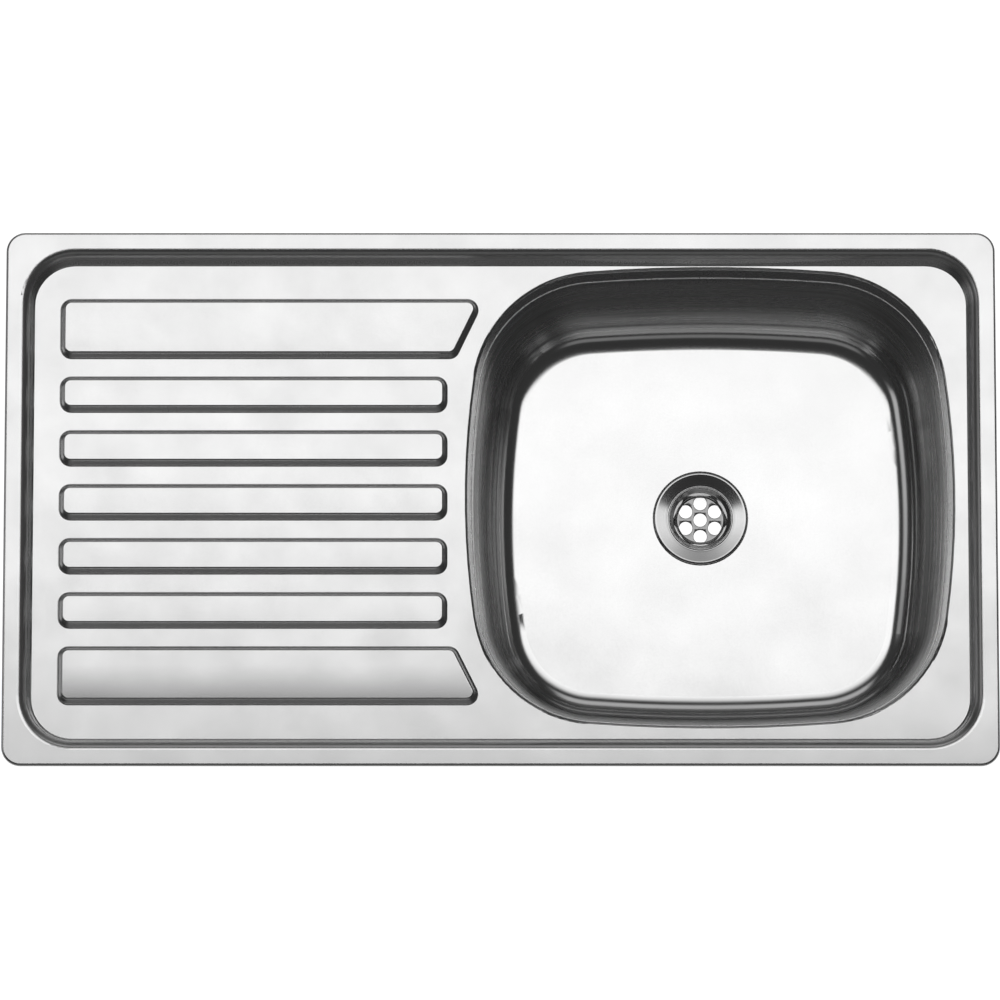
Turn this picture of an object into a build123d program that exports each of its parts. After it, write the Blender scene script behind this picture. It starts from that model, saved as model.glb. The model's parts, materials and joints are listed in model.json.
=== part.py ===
from build123d import *
import os
from math import atan2, cos, degrees, radians, sqrt, tan

# An inset kitchen sink of pressed stainless steel: one bowl on the right and a ribbed drainboard on the left.
# Millimetres. Origin at the middle of the worktop's surface under the rim, +X to the bowl's side, +Y to the
# back, +Z up. The bowl is a separate drawing, welded under the collar that the deck turns down into it.

# ---- the deck pressing ----
overall_length = 800.0
overall_width = 435.0
sheet = 0.8
rim_corner = 15.5
rim_flat_ends = 16.7
rim_flat_long = 18.1
edge_roll = 2.0
edge_above_worktop = 0.3
recess_depth = 18.0
recess_corner = 39.0
step_slope = 73.0
step_crest = 7.0
step_root = 1.2

# ---- the ribs of the drainboard ----
rib_height = 9.0
rib_slope = 72.0
rib_crest = 1.5
rib_root = 1.5
rib_width = 28.0
rib_pitch = 44.1
rib_corner = 8.5
rib_rows = 5
rib_field_shift = -0.8
rib_left_land = 22.0
rib_to_bowl = 16.2
end_rib_land = 28.7
end_rib_reach = 30.0
end_rib_skew = 23.0

# ---- the bowl ----
bowl_length = 393.0
bowl_depth = 150.0
bowl_right_land = 12.2
bowl_back_land = 3.3
bowl_front_land = 10.5
bowl_corner = 100.0
side_bow = 700.0
end_bow = 1300.0
collar_draft = 9.0
collar_crest = 2.5
collar_depth = 20.0
wall_draft = 10.5
bowl_floor_radius = 22.0

# ---- the waste ----
outlet_shift_x = -4.3
outlet_shift_y = 3.6
tail_radius = 23.9
tail_wall = 3.9
tail_length = 42.0
tail_relief_width = 1.5
tail_relief_depth = 0.6
neck_step = 3.5
neck_clearance = 0.6
dish_flat_land = 3.0
neck_seat_land = 1.0
dish_run = 8.4
dish_slope = 0.2833
flange_inset = 0.6
flange_thickness = 1.4
flange_slope = 0.17
seal_thickness = 0.8
cup_lip = 2.6
cup_waist_wall = 1.5
grid_ledge = 0.2
grid_drop = 8.3
grid_thickness = 1.5
grid_hole_radius = 5.5
grid_hole_margin = 0.5
grid_holes_round = 6
washer_thickness = 3.0
slip_ring_thickness = 1.5
slip_ring_overlap = 5.0
nut_wall = 9.1
nut_height = 10.0
thread_clearance = 0.1

# ---- gasket and sound pads ----
gasket_thickness = 2.0
gasket_width = 7.5
gasket_edge_gap = 0.3
pad_length = 80.0
pad_width = 190.0
pad_thickness = 2.0
pad_corner = 6.0
pad_outlet_gap = 8.0

# ---- the clamps that pull the rim down ----
cutout_margin = 10.0
cutout_to_pin = 22.0
pin_drop = 7.0
pin_radius = 2.0
pin_head_overlap = 1.2
pin_head = 1.0
pin_clearance = 0.05
lug_base_width = 11.0
lug_base_thickness = 1.5
ear_wall = 2.0
ear_thickness = 2.0
arm_width = 16.0
arm_side_gap = 0.3
arm_thickness = 2.0
arm_drop = 32.0
arm_bend = 3.0
arm_end_margin = 8.0
screw_past_cutout = 10.0
screw_radius = 3.0
screw_travel = 22.0
screw_tip_step = 0.5
screw_tip_gap = 0.3
screw_head_overlap = 2.0
screw_head_height = 4.0
screw_head_gap = 1.0
running_clearance = 0.05
boss_wall = 3.0
boss_length = 4.0
foot_wall = 4.5
foot_thickness = 5.0
foot_socket_depth = 3.0
foot_rest_gap = 1.0
clamp_from_left_edge = 150.0
clamp_into_bowl_corner = 18.7
left_clamp_from_corner = 107.5
right_clamp_from_corner = 67.5

steel_density = 7.85
rubber_density = 1.15

# ---- what follows from them ----
rim_top = gasket_thickness + sheet
deck_top = rim_top - recess_depth
deck_under = deck_top - sheet
half_length = overall_length / 2
half_width = overall_width / 2
step_run = recess_depth / tan(radians(step_slope))
recess_half_length = half_length - rim_flat_ends
recess_half_width = half_width - rim_flat_long
floor_half_length = recess_half_length - step_run
floor_half_width = recess_half_width - step_run
rib_start = -floor_half_length + rib_left_land
bowl_right = floor_half_length - bowl_right_land
bowl_x = bowl_right - bowl_length / 2
bowl_back = floor_half_width - bowl_back_land
bowl_front = -floor_half_width + bowl_front_land
bowl_y = (bowl_back + bowl_front) / 2
bowl_half_length = bowl_length / 2
bowl_half_width = (bowl_back - bowl_front) / 2
rib_end = bowl_x - bowl_half_length - rib_to_bowl
weld_z = deck_top - collar_depth
bowl_floor = rim_top - bowl_depth
collar_shrink = collar_depth * tan(radians(collar_draft))
outlet_x = bowl_x + outlet_shift_x
outlet_y = bowl_y + outlet_shift_y
tail_bore_radius = tail_radius - tail_wall
neck_radius = tail_radius + neck_step
bowl_hole_radius = neck_radius + neck_clearance
dish_flat_radius = bowl_hole_radius + dish_flat_land
dish_radius = dish_flat_radius + dish_run
dish_depth = dish_run * dish_slope
flange_radius = dish_radius - flange_inset
cup_radius = tail_radius + cup_lip
cup_waist_radius = tail_radius - cup_waist_wall
grid_radius = tail_bore_radius - grid_ledge
grid_hole_ring = grid_radius - grid_hole_radius - grid_hole_margin
tail_end = bowl_floor - dish_depth - sheet - tail_length
pin_z = deck_under - pin_drop
below_everything = -400.0
nudge = 0.01


def outline(length, width, corner, height):
    """A rectangle lying at a height, with round corners where a corner radius is given."""
    face = RectangleRounded(length, width, corner) if corner else Rectangle(length, width)
    return Pos(0, 0, height) * face


def slab(length, width, corner, low, high):
    """A block with round upright edges between two heights."""
    return extrude(outline(length, width, corner, low), high - low)


def sunk(face, depth, slope, root):
    """The space below a face whose walls lean in at a slope, with its bottom edge rounded by root."""
    space = extrude(face, depth, dir=(0, 0, -1), taper=90 - slope)
    return fillet(space.edges().group_by(Axis.Z)[0], root) if root else space


def raised(face, height, slope, crest):
    """A block on a face whose walls lean in at a slope, with its top edge rounded by crest."""
    block = extrude(face, height, dir=(0, 0, 1), taper=90 - slope)
    return fillet(block.edges().group_by(Axis.Z)[-1], crest)


def plane_growth(inset, slope):
    """How far an outline moves sideways, in its own plane, when both its plane and its wall move by inset."""
    return inset * tan(radians(slope) / 2)


def horizontal_face(body, height):
    """The largest level face at a height."""
    level = body.faces().filter_by(Axis.Z).filter_by_position(Axis.Z, height - nudge, height + nudge)
    return level.sort_by(SortBy.AREA)[-1]


# ---- the bowl's outline: four bowed sides and four corners, all tangent arcs ----

side_centre = Vector(bowl_half_length - side_bow, 0)
end_centre = Vector(0, bowl_half_width - end_bow)


def corner_centre():
    """The centre of the corner arc that touches a bowed side and a bowed end from inside."""
    reach_side = side_bow - bowl_corner
    reach_end = end_bow - bowl_corner
    across = end_centre - side_centre
    along = (reach_side**2 - reach_end**2 + across.length**2) / (2 * across.length)
    off = sqrt(reach_side**2 - along**2)
    unit = across.normalized()
    return side_centre + unit * along + Vector(-unit.Y, unit.X) * off


def flipped(point, sign_x, sign_y):
    """A point of the first quadrant carried to another."""
    return (point.X * sign_x, point.Y * sign_y)


def bowl_outline(grow, height):
    """The bowl's outline grown outwards by a distance, at a height."""
    corner = corner_centre()
    side_end = side_centre + (corner - side_centre).normalized() * (side_bow + grow)
    end_end = end_centre + (corner - end_centre).normalized() * (end_bow + grow)
    middle = (side_end - corner).normalized() + (end_end - corner).normalized()
    corner_middle = corner + middle.normalized() * (bowl_corner + grow)
    arcs = []
    for sign in (1, -1):
        arcs.append(
            ThreePointArc(
                flipped(side_end, sign, -1),
                (sign * (bowl_half_length + grow), 0),
                flipped(side_end, sign, 1),
            )
        )
        arcs.append(
            ThreePointArc(
                flipped(end_end, -1, sign),
                (0, sign * (bowl_half_width + grow)),
                flipped(end_end, 1, sign),
            )
        )
        for other in (1, -1):
            arcs.append(
                ThreePointArc(
                    flipped(side_end, sign, other),
                    flipped(corner_middle, sign, other),
                    flipped(end_end, sign, other),
                )
            )
    return Pos(bowl_x, bowl_y, height) * make_face(Wire(arcs))


# ---- the deck: rim, recess, ribs and the collar round the bowl ----


def rib_faces(shrink, height):
    """The footprints of the ribs: narrow rows between two wide ones with slanted ends."""
    faces = []
    corner = rib_corner - shrink
    left = rib_start + shrink
    right = rib_end - shrink
    for row in range(rib_rows):
        y = rib_field_shift + (row - (rib_rows - 1) / 2) * rib_pitch
        rib = RectangleRounded(right - left, rib_width - 2 * shrink, corner)
        faces.append(Pos((left + right) / 2, y, height) * rib)
    last_row = (rib_rows - 1) / 2 * rib_pitch + rib_width / 2
    inner = last_row + rib_pitch - rib_width + shrink
    for side in (1, -1):
        outer = floor_half_width - end_rib_land - side * rib_field_shift - shrink
        lean = end_rib_skew / (outer - inner + 2 * shrink)
        far = rib_end + end_rib_reach - shrink * (lean + sqrt(1 + lean**2))
        corners = [(left, inner), (left, outer), (far, outer), (far - lean * (outer - inner), inner)]
        shape = Polygon(*[(x, side * y + rib_field_shift) for x, y in corners], align=None)
        faces.append(Pos(0, 0, height) * fillet(shape.vertices(), corner))
    return faces


def pressing(inset):
    """All that lies below the deck's top surface, once that surface has moved into the steel by inset."""
    top = rim_top - inset
    floor = deck_top - inset
    body = slab(
        overall_length - 2 * inset,
        overall_width - 2 * inset,
        rim_corner - inset,
        below_everything - inset,
        top,
    )
    step_growth = plane_growth(inset, step_slope)
    recess = outline(
        2 * (recess_half_length + step_growth),
        2 * (recess_half_width + step_growth),
        recess_corner + step_growth,
        top,
    )
    body -= sunk(recess, recess_depth, step_slope, step_root + inset)
    body = fillet(horizontal_face(body, top).inner_wires()[0].edges(), step_crest - inset)
    body = fillet(horizontal_face(body, top).outer_wire().edges(), edge_roll - inset)
    for face in rib_faces(plane_growth(inset, rib_slope), floor):
        body += raised(face, rib_height, rib_slope, rib_crest - inset)
    roots = horizontal_face(body, floor).inner_wires()
    body = fillet([edge for wire in roots for edge in wire.edges()], rib_root + inset)
    collar_slope = 90 - collar_draft
    opening = bowl_outline(plane_growth(inset, collar_slope), floor)
    body -= sunk(opening, deck_top - bowl_floor, collar_slope, 0)
    rims = horizontal_face(body, floor).inner_wires()
    crest = max(rims, key=lambda wire: wire.bounding_box().max.X)
    return fillet(crest.edges(), collar_crest - inset)


def make_deck():
    """The sheet between the two surfaces, cut off at the rim's edge and at the collar's weld."""
    deck = pressing(0) - pressing(sheet)
    outside = slab(2 * overall_length, 2 * overall_width, 0, 2 * below_everything, edge_above_worktop)
    keep = slab(overall_length - 4 * sheet, overall_width - 4 * sheet, rim_corner, weld_z, edge_above_worktop)
    return deck - (outside - keep)


# ---- the bowl ----


def bowl_space(outset):
    """The space in the bowl, with its walls and floor moved outwards by outset."""
    grow = outset / cos(radians(wall_draft)) - collar_shrink
    depth = weld_z - bowl_floor + outset
    walls = sunk(bowl_outline(grow, weld_z), depth, 90 - wall_draft, bowl_floor_radius + outset)
    dish_growth = plane_growth(outset, degrees(atan2(dish_slope, 1)))
    dish = Cone(dish_flat_radius + dish_growth, dish_radius + dish_growth, dish_depth)
    return walls + Pos(outlet_x, outlet_y, bowl_floor - outset - dish_depth / 2) * dish


def make_bowl():
    """The drawn bowl, open at the top, with its dish and outlet hole."""
    hole = Cylinder(bowl_hole_radius, 2 * dish_radius)
    return bowl_space(sheet) - bowl_space(0) - Pos(outlet_x, outlet_y, bowl_floor) * hole


# ---- gasket and sound pads ----


def make_gasket():
    """The foam strip under the rim, inside the turned-down edge."""
    gap = edge_roll + gasket_edge_gap
    outer = slab(overall_length - 2 * gap, overall_width - 2 * gap, rim_corner - gap, 0, gasket_thickness)
    inner_gap = gap + gasket_width
    corner = rim_corner - gap / 2
    inner = slab(
        overall_length - 2 * inner_gap,
        overall_width - 2 * inner_gap,
        corner,
        -gasket_thickness,
        2 * gasket_thickness,
    )
    return outer - inner


def make_sound_pad(side):
    """A bitumen pad glued under the bowl's flat floor, left (-1) or right (1) of the waste."""
    x = outlet_x + side * (dish_radius + pad_outlet_gap + pad_length / 2)
    face = Pos(x, outlet_y, bowl_floor - sheet) * RectangleRounded(pad_length, pad_width, pad_corner)
    return extrude(face, pad_thickness, dir=(0, 0, -1))


# ---- the waste, all turned about the outlet's axis; heights are measured from the bowl's floor ----

washer_top = -dish_depth - sheet
nut_top = washer_top - washer_thickness - slip_ring_thickness
nut_low = nut_top - nut_height


def turned(points):
    """A ring turned about the outlet's axis from its section, given as radius and height."""
    section = Plane.XZ * Polygon(*points, align=None)
    return Pos(outlet_x, outlet_y, bowl_floor) * revolve(section, Axis.Z)


def dish_height(radius):
    """The height of the dish's upper surface at a radius."""
    return -(dish_radius - radius) * dish_slope


def make_waste_body():
    """Flange, cup, grid and threaded tail in one piece."""
    seal_top_edge = dish_height(flange_radius) + seal_thickness
    seat_radius = dish_flat_radius - neck_seat_land
    seat = dish_height(seat_radius) + seal_thickness
    top_edge = seal_top_edge + flange_thickness
    cup_edge = top_edge - (flange_radius - cup_radius) * flange_slope
    waist = -dish_depth - sheet / 2
    grid_top = cup_edge - grid_drop
    end = tail_end - bowl_floor
    relief_top = nut_low - tail_relief_width / 2
    relief_low = relief_top - tail_relief_width
    relief_radius = tail_radius - tail_relief_depth
    body = turned(
        [
            (flange_radius, seal_top_edge),
            (flange_radius, top_edge),
            (cup_radius, cup_edge),
            (cup_waist_radius, waist),
            (grid_radius, grid_top),
            (0, grid_top),
            (0, grid_top - grid_thickness),
            (tail_bore_radius, grid_top - grid_thickness),
            (tail_bore_radius, end),
            (tail_radius, end),
            (tail_radius, relief_low),
            (relief_radius, relief_low),
            (relief_radius, relief_top),
            (tail_radius, relief_top),
            (tail_radius, waist),
            (neck_radius, waist),
            (neck_radius, seat),
            (seat_radius, seat),
        ]
    )
    holes = [Pos(0, 0, 0)] + list(PolarLocations(grid_hole_ring, grid_holes_round, start_angle=90))
    for place in holes:
        hole = Cylinder(grid_hole_radius, 4 * grid_thickness)
        body -= Pos(outlet_x, outlet_y, bowl_floor + grid_top) * place * hole
    return body


def make_flange_seal():
    """The soft ring between the flange and the dish."""
    inner = dish_flat_radius
    outer = flange_radius - seal_thickness
    return turned(
        [
            (inner, dish_height(inner)),
            (outer, dish_height(outer)),
            (outer, dish_height(outer) + seal_thickness),
            (inner, dish_height(inner) + seal_thickness),
        ]
    )


def ring_below(top, thickness, radius):
    """A flat ring round the tail, its top at a height."""
    bore = tail_radius + thread_clearance
    return turned([(bore, top), (radius, top), (radius, top - thickness), (bore, top - thickness)])


def make_rubber_washer():
    """The washer that seals against the underside of the dish."""
    return ring_below(washer_top, washer_thickness, dish_flat_radius)


def make_slip_ring():
    """The plastic ring that lets the nut turn without dragging the washer."""
    radius = dish_flat_radius + slip_ring_overlap
    return ring_below(washer_top - washer_thickness, slip_ring_thickness, radius)


def make_backnut():
    """The six-sided plastic nut on the tail."""
    top = bowl_floor + nut_top
    hexagon = RegularPolygon(tail_radius + nut_wall, 6, major_radius=False)
    nut = extrude(Pos(outlet_x, outlet_y, top) * hexagon, nut_height, dir=(0, 0, -1))
    return nut - Pos(outlet_x, outlet_y, top) * Cylinder(tail_radius + thread_clearance, 4 * nut_height)


# ---- one clamp, about its hinge pin: local X runs along the rim, Y points outwards, Z up ----

foot_y = cutout_to_pin + screw_past_cutout
pin_hole_radius = pin_radius + pin_clearance
pin_head_radius = pin_radius + pin_head_overlap
ear_reach = pin_hole_radius + ear_wall
screw_tip_radius = screw_radius - screw_tip_step
arm_face = -pin_hole_radius
knuckle_radius = pin_hole_radius + arm_thickness
arm_floor = -arm_drop - arm_thickness
foot_low = -arm_drop + foot_rest_gap
ear_inside = arm_width / 2 + arm_side_gap
ear_outside = ear_inside + ear_thickness
screw_low = arm_floor - boss_length - screw_travel - screw_head_gap


def lying(radius, length):
    """A cylinder along the hinge pin."""
    return Rot(0, 90, 0) * Cylinder(radius, length)


def standing(radius, low, high):
    """A cylinder along the clamp screw."""
    return Pos(0, foot_y, (low + high) / 2) * Cylinder(radius, high - low)


def make_lug():
    """The bracket welded under the deck: a base plate and two ears."""
    base_z = pin_drop - lug_base_thickness / 2
    lug = Pos(0, 0, base_z) * Box(2 * ear_outside, lug_base_width, lug_base_thickness)
    ear_height = pin_drop + ear_reach
    ear_z = (pin_drop - ear_reach) / 2
    for side in (1, -1):
        x = side * (ear_inside + ear_thickness / 2)
        lug += Pos(x, 0, ear_z) * Box(ear_thickness, 2 * ear_reach, ear_height)
    return lug - lying(pin_hole_radius, 4 * ear_outside)


def make_pin():
    """The hinge pin, headed at both ends."""
    pin = lying(pin_radius, 2 * (ear_outside + pin_head))
    for side in (1, -1):
        pin += Pos(side * (ear_outside + pin_head / 2), 0, 0) * lying(pin_head_radius, pin_head)
    return pin


def make_arm():
    """The strip that hangs on the pin and turns outwards under the worktop, tapped for the screw."""
    path = [
        (arm_face, 0),
        (arm_face, -arm_drop),
        (foot_y + arm_end_margin, -arm_drop),
        (foot_y + arm_end_margin, arm_floor),
        (arm_face - arm_thickness, arm_floor),
        (arm_face - arm_thickness, 0),
    ]
    strip = extrude(Plane.YZ * Polygon(*path, align=None), arm_width / 2, both=True)
    bends = strip.edges().filter_by(Axis.X)
    inside = bends.sort_by_distance((0, arm_face, -arm_drop))[0]
    strip = fillet(inside, arm_bend)
    outside = strip.edges().filter_by(Axis.X).sort_by_distance((0, arm_face - arm_thickness, arm_floor))[0]
    strip = fillet(outside, arm_bend + arm_thickness)
    arm = strip + lying(knuckle_radius, arm_width)
    arm += standing(screw_radius + boss_wall, arm_floor - boss_length, arm_floor + arm_thickness / 2)
    arm -= lying(pin_hole_radius, 2 * arm_width)
    return arm - standing(screw_radius + running_clearance, screw_low, 0)


def make_screw():
    """The clamp screw in its lowest place: tip, shank and six-sided head."""
    shoulder = foot_low
    tip_top = shoulder + foot_socket_depth - screw_tip_gap
    screw = standing(screw_radius, screw_low, shoulder - running_clearance * 2)
    screw += standing(screw_tip_radius, screw_low, tip_top)
    hexagon = RegularPolygon(screw_radius + screw_head_overlap, 6, major_radius=False)
    return screw + extrude(Pos(0, foot_y, screw_low) * hexagon, screw_head_height, dir=(0, 0, -1))


def make_foot():
    """The rubber foot that turns on the screw's tip and presses on the worktop."""
    foot = standing(screw_tip_radius + foot_wall, foot_low, foot_low + foot_thickness)
    socket_radius = screw_tip_radius + running_clearance
    return foot - standing(socket_radius, foot_low - nudge, foot_low + foot_socket_depth)


def hang_angle(steel, rubber):
    """How far the clamp swings inwards, in degrees, when it hangs with its weight under the pin."""
    weights = [(shape, steel_density) for shape in steel] + [(shape, rubber_density) for shape in rubber]
    y = sum(shape.volume * density * shape.center(CenterOf.MASS).Y for shape, density in weights)
    z = sum(shape.volume * density * shape.center(CenterOf.MASS).Z for shape, density in weights)
    return degrees(atan2(y, -z))


def clamp_places():
    """Where each clamp's pin lies, and which way the clamp faces."""
    long_y = half_width - cutout_margin - cutout_to_pin
    end_x = half_length - cutout_margin - cutout_to_pin
    left_x = clamp_from_left_edge - half_length
    middle_x = bowl_x - bowl_half_length + clamp_into_bowl_corner
    left_y = half_width - left_clamp_from_corner
    right_y = half_width - right_clamp_from_corner
    return {
        "back_left": Pos(left_x, long_y, pin_z),
        "back_right": Pos(middle_x, long_y, pin_z),
        "front_left": Pos(left_x, -long_y, pin_z) * Rot(0, 0, 180),
        "front_right": Pos(middle_x, -long_y, pin_z) * Rot(0, 0, 180),
        "left_back": Pos(-end_x, left_y, pin_z) * Rot(0, 0, 90),
        "left_front": Pos(-end_x, -left_y, pin_z) * Rot(0, 0, 90),
        "right_back": Pos(end_x, right_y, pin_z) * Rot(0, 0, -90),
        "right_front": Pos(end_x, -right_y, pin_z) * Rot(0, 0, -90),
    }


def make_clamps():
    """All the clamps, hanging free: each has a lug, a pin, an arm, a screw and a foot."""
    arm = make_arm()
    screw = make_screw()
    foot = make_foot()
    hanging = Rot(-hang_angle([arm, screw], [foot]), 0, 0)
    pieces = {"lug": make_lug(), "pin": make_pin()}
    pieces["arm"] = hanging * arm
    pieces["screw"] = hanging * screw
    pieces["foot"] = hanging * foot
    clamps = {}
    for side, place in clamp_places().items():
        for name, shape in pieces.items():
            clamps[f"clamp_{side}_{name}"] = place * shape
    return clamps


def make_nodes():
    """Every piece of the sink by its node's name."""
    nodes = {
        "drainboard_deck": make_deck(),
        "bowl": make_bowl(),
        "rim_gasket": make_gasket(),
        "sound_pad_left": make_sound_pad(-1),
        "sound_pad_right": make_sound_pad(1),
        "waste_body": make_waste_body(),
        "flange_seal": make_flange_seal(),
        "rubber_washer": make_rubber_washer(),
        "slip_ring": make_slip_ring(),
        "backnut": make_backnut(),
    }
    nodes.update(make_clamps())
    return nodes


os.makedirs("parts", exist_ok=True)
parts = make_nodes()
for node, shape in parts.items():
    export_step(shape, f"parts/{node}.step")
hang = hang_angle([make_arm(), make_screw()], [make_foot()])
print(len(parts), "nodes; the clamps hang", round(hang, 3), "degrees inwards")
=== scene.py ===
# %% [markdown]
# # A kitchen sink with its drainboard
# The sink is pressed from thin stainless steel: a ribbed deck on the left, a deep bowl on the
# right, and a waste with seven holes in the bowl's floor. Its shells and fittings come from a
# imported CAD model, already in place and in metres. This lesson gives them their finish, and adds
# the small things that a maker leaves on them: a ground weld, threads, rivet heads, spot welds
# and softened edges.

# %% Load the fixed model
import bmesh
import bpy
import json
from math import cos, pi, radians, sin
from mathutils import Matrix, Vector


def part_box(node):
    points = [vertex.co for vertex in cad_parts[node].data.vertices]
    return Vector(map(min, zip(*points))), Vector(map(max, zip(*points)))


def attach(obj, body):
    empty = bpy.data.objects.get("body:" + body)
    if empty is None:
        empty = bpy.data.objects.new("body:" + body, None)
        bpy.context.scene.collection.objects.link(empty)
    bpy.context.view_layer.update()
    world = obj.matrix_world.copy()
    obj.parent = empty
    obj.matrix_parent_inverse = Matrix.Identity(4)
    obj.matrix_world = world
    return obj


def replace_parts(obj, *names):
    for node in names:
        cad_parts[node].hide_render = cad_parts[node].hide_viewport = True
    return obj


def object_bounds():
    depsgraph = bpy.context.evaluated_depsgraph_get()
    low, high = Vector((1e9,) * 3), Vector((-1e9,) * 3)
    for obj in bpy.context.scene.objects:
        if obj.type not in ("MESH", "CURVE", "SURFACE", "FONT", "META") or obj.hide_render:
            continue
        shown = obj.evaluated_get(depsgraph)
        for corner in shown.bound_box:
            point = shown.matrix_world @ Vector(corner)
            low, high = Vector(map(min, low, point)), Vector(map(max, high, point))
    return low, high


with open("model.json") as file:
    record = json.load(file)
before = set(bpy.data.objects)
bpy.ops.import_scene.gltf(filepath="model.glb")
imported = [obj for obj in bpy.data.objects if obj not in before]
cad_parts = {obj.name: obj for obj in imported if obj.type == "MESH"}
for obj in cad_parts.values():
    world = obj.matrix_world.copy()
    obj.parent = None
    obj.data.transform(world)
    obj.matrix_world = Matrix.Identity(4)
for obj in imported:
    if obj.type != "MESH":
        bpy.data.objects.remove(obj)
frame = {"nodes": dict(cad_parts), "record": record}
cad_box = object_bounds()
MM = 0.001
print("the sink measures", [round((high - low) / MM, 1) for low, high in zip(*cad_box)], "mm")


def put_in_scene(name, data):
    """A new object that holds the data, linked to the scene."""
    made = bpy.data.objects.new(name, data)
    bpy.context.scene.collection.objects.link(made)
    return made


# %% [markdown]
# The photograph looks down on the sink from a little in front of it. A long lens from far away
# keeps the sides nearly parallel, so the tilt is what shows: slopes that face the front look
# wider than those that face the back. The lens follows from the distance and from how wide the
# picture is at the rim.

# %% Camera
view_tilt = radians(9.3)
camera_distance = 6.0
picture_width = 804.8 * MM
sensor_width = 36.0
view_end = 100.0
aim = Vector((-0.5 * MM, -1.95 * MM, cad_box[1].z))

camera_data = bpy.data.cameras.new("photo_camera")
camera_data.sensor_width = sensor_width
camera_data.lens = sensor_width * camera_distance / picture_width
camera_data.clip_end = view_end
camera = put_in_scene("photo_camera", camera_data)
camera.location = aim + camera_distance * Vector((0, -sin(view_tilt), cos(view_tilt)))
camera.rotation_euler = (view_tilt, 0, 0)
bpy.context.scene.camera = camera
bpy.context.scene.view_settings.view_transform = "Standard"
print("lens", round(camera_data.lens), "mm from", camera_distance, "m")

# %% [markdown]
# The floor is the white sweep of a product photograph. It lies just under the waste, glows softly
# to the camera so that it reads as pure white, and stays a plain pale floor to the steel that
# mirrors it. From below it is clear, so that the sink's underside can be looked at too. A small
# bright card on it, right under the waste, keeps the view through the grid's holes white.

# %% Floor
floor_gap = 2.0 * MM
floor_half_side = 15.0
floor_grey = 0.7
floor_roughness = 0.9
floor_glow_in_mirrors = 0.3


def add(tree, kind, values=None, **settings):
    """A new node in a tree, with its settings and the values of its unlinked inputs."""
    made = tree.nodes.new(kind)
    for name, value in settings.items():
        setattr(made, name, value)
    for name, value in (values or {}).items():
        made.inputs[name].default_value = value
    return made


def grey(value):
    """A neutral colour."""
    return (value, value, value)


def light_path_mix(tree, camera_color, other_color):
    """A colour that differs between what the camera sees and what the object reflects."""
    path = add(tree, "ShaderNodeLightPath")
    mix = add(tree, "ShaderNodeMix", data_type="RGBA")
    mix.inputs["A"].default_value = (*other_color, 1)
    mix.inputs["B"].default_value = (*camera_color, 1)
    tree.links.new(path.outputs["Is Camera Ray"], mix.inputs["Factor"])
    return mix.outputs["Result"]


floor_mesh = bpy.data.meshes.new("studio_floor")
floor_shape = bmesh.new()
bmesh.ops.create_grid(floor_shape, x_segments=1, y_segments=1, size=floor_half_side)
floor_drop = Vector((0, 0, cad_box[0].z - floor_gap))
bmesh.ops.translate(floor_shape, verts=floor_shape.verts, vec=floor_drop)
floor_shape.to_mesh(floor_mesh)
floor_shape.free()
floor = put_in_scene("studio_floor", floor_mesh)
print("the floor lies at", round(floor_drop.z / MM, 1), "mm")

# %% The floor's finish
floor_material = bpy.data.materials.new("white_sweep")
floor_material.use_nodes = True
floor_tree = floor_material.node_tree
floor_surface = floor_tree.nodes["Principled BSDF"]
floor_surface.inputs["Base Color"].default_value = (*grey(floor_grey), 1)
floor_surface.inputs["Roughness"].default_value = floor_roughness
floor_surface.inputs["Emission Strength"].default_value = 1.0
floor_glow = light_path_mix(floor_tree, grey(1.0), grey(floor_glow_in_mirrors))
floor_tree.links.new(floor_glow, floor_surface.inputs["Emission Color"])
underside = add(floor_tree, "ShaderNodeNewGeometry").outputs["Backfacing"]
clear = add(floor_tree, "ShaderNodeBsdfTransparent")
one_sided = add(floor_tree, "ShaderNodeMixShader")
sources = (underside, floor_surface.outputs["BSDF"], clear.outputs["BSDF"])
for source, socket in zip(sources, one_sided.inputs):
    floor_tree.links.new(source, socket)
floor_output = floor_tree.nodes["Material Output"]
floor_tree.links.new(one_sided.outputs["Shader"], floor_output.inputs["Surface"])
floor_mesh.materials.append(floor_material)
print("the floor glows", floor_glow_in_mirrors, "in mirrors")

# %% The card under the waste
card_radius = 28.0 * MM
card_lift = 0.5 * MM
card_glow = 1.1
card_sides = 64
waste_low, waste_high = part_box("waste_body")
card_place = Vector(((waste_low.x + waste_high.x) / 2, (waste_low.y + waste_high.y) / 2, 0))
card_mesh = bpy.data.meshes.new("white_card")
card_shape = bmesh.new()
card_matrix = Matrix.Translation(card_place + floor_drop + Vector((0, 0, card_lift)))
card_size = {"segments": card_sides, "radius": card_radius, "cap_ends": True}
bmesh.ops.create_circle(card_shape, matrix=card_matrix, **card_size)
card_shape.to_mesh(card_mesh)
card_shape.free()
card = put_in_scene("white_card", card_mesh)
card_material = floor_material.copy()
card_material.name = "white_card"
card_material.node_tree.nodes["Mix"].inputs["A"].default_value = (*grey(card_glow), 1)
card_mesh.materials.append(card_material)
print("the card is", round(2 * card_radius / MM), "mm across")

# %% [markdown]
# Polished steel shows its surroundings more than itself, so the lights are laid out like a
# photographer's: a wide softbox high overhead, whose front edge ends where the flat steel just
# still mirrors it and which fades out to the back, dimmer ones on the left and behind, a faint
# one in front, and near darkness on the right. Each slope of the pressing then takes a bright or
# a dark line from what it faces. A real softbox fades towards its edges, and a light's Parametric
# coordinate runs from 0 to 1 across it, so a smooth ramp on each side makes that fade.

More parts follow.
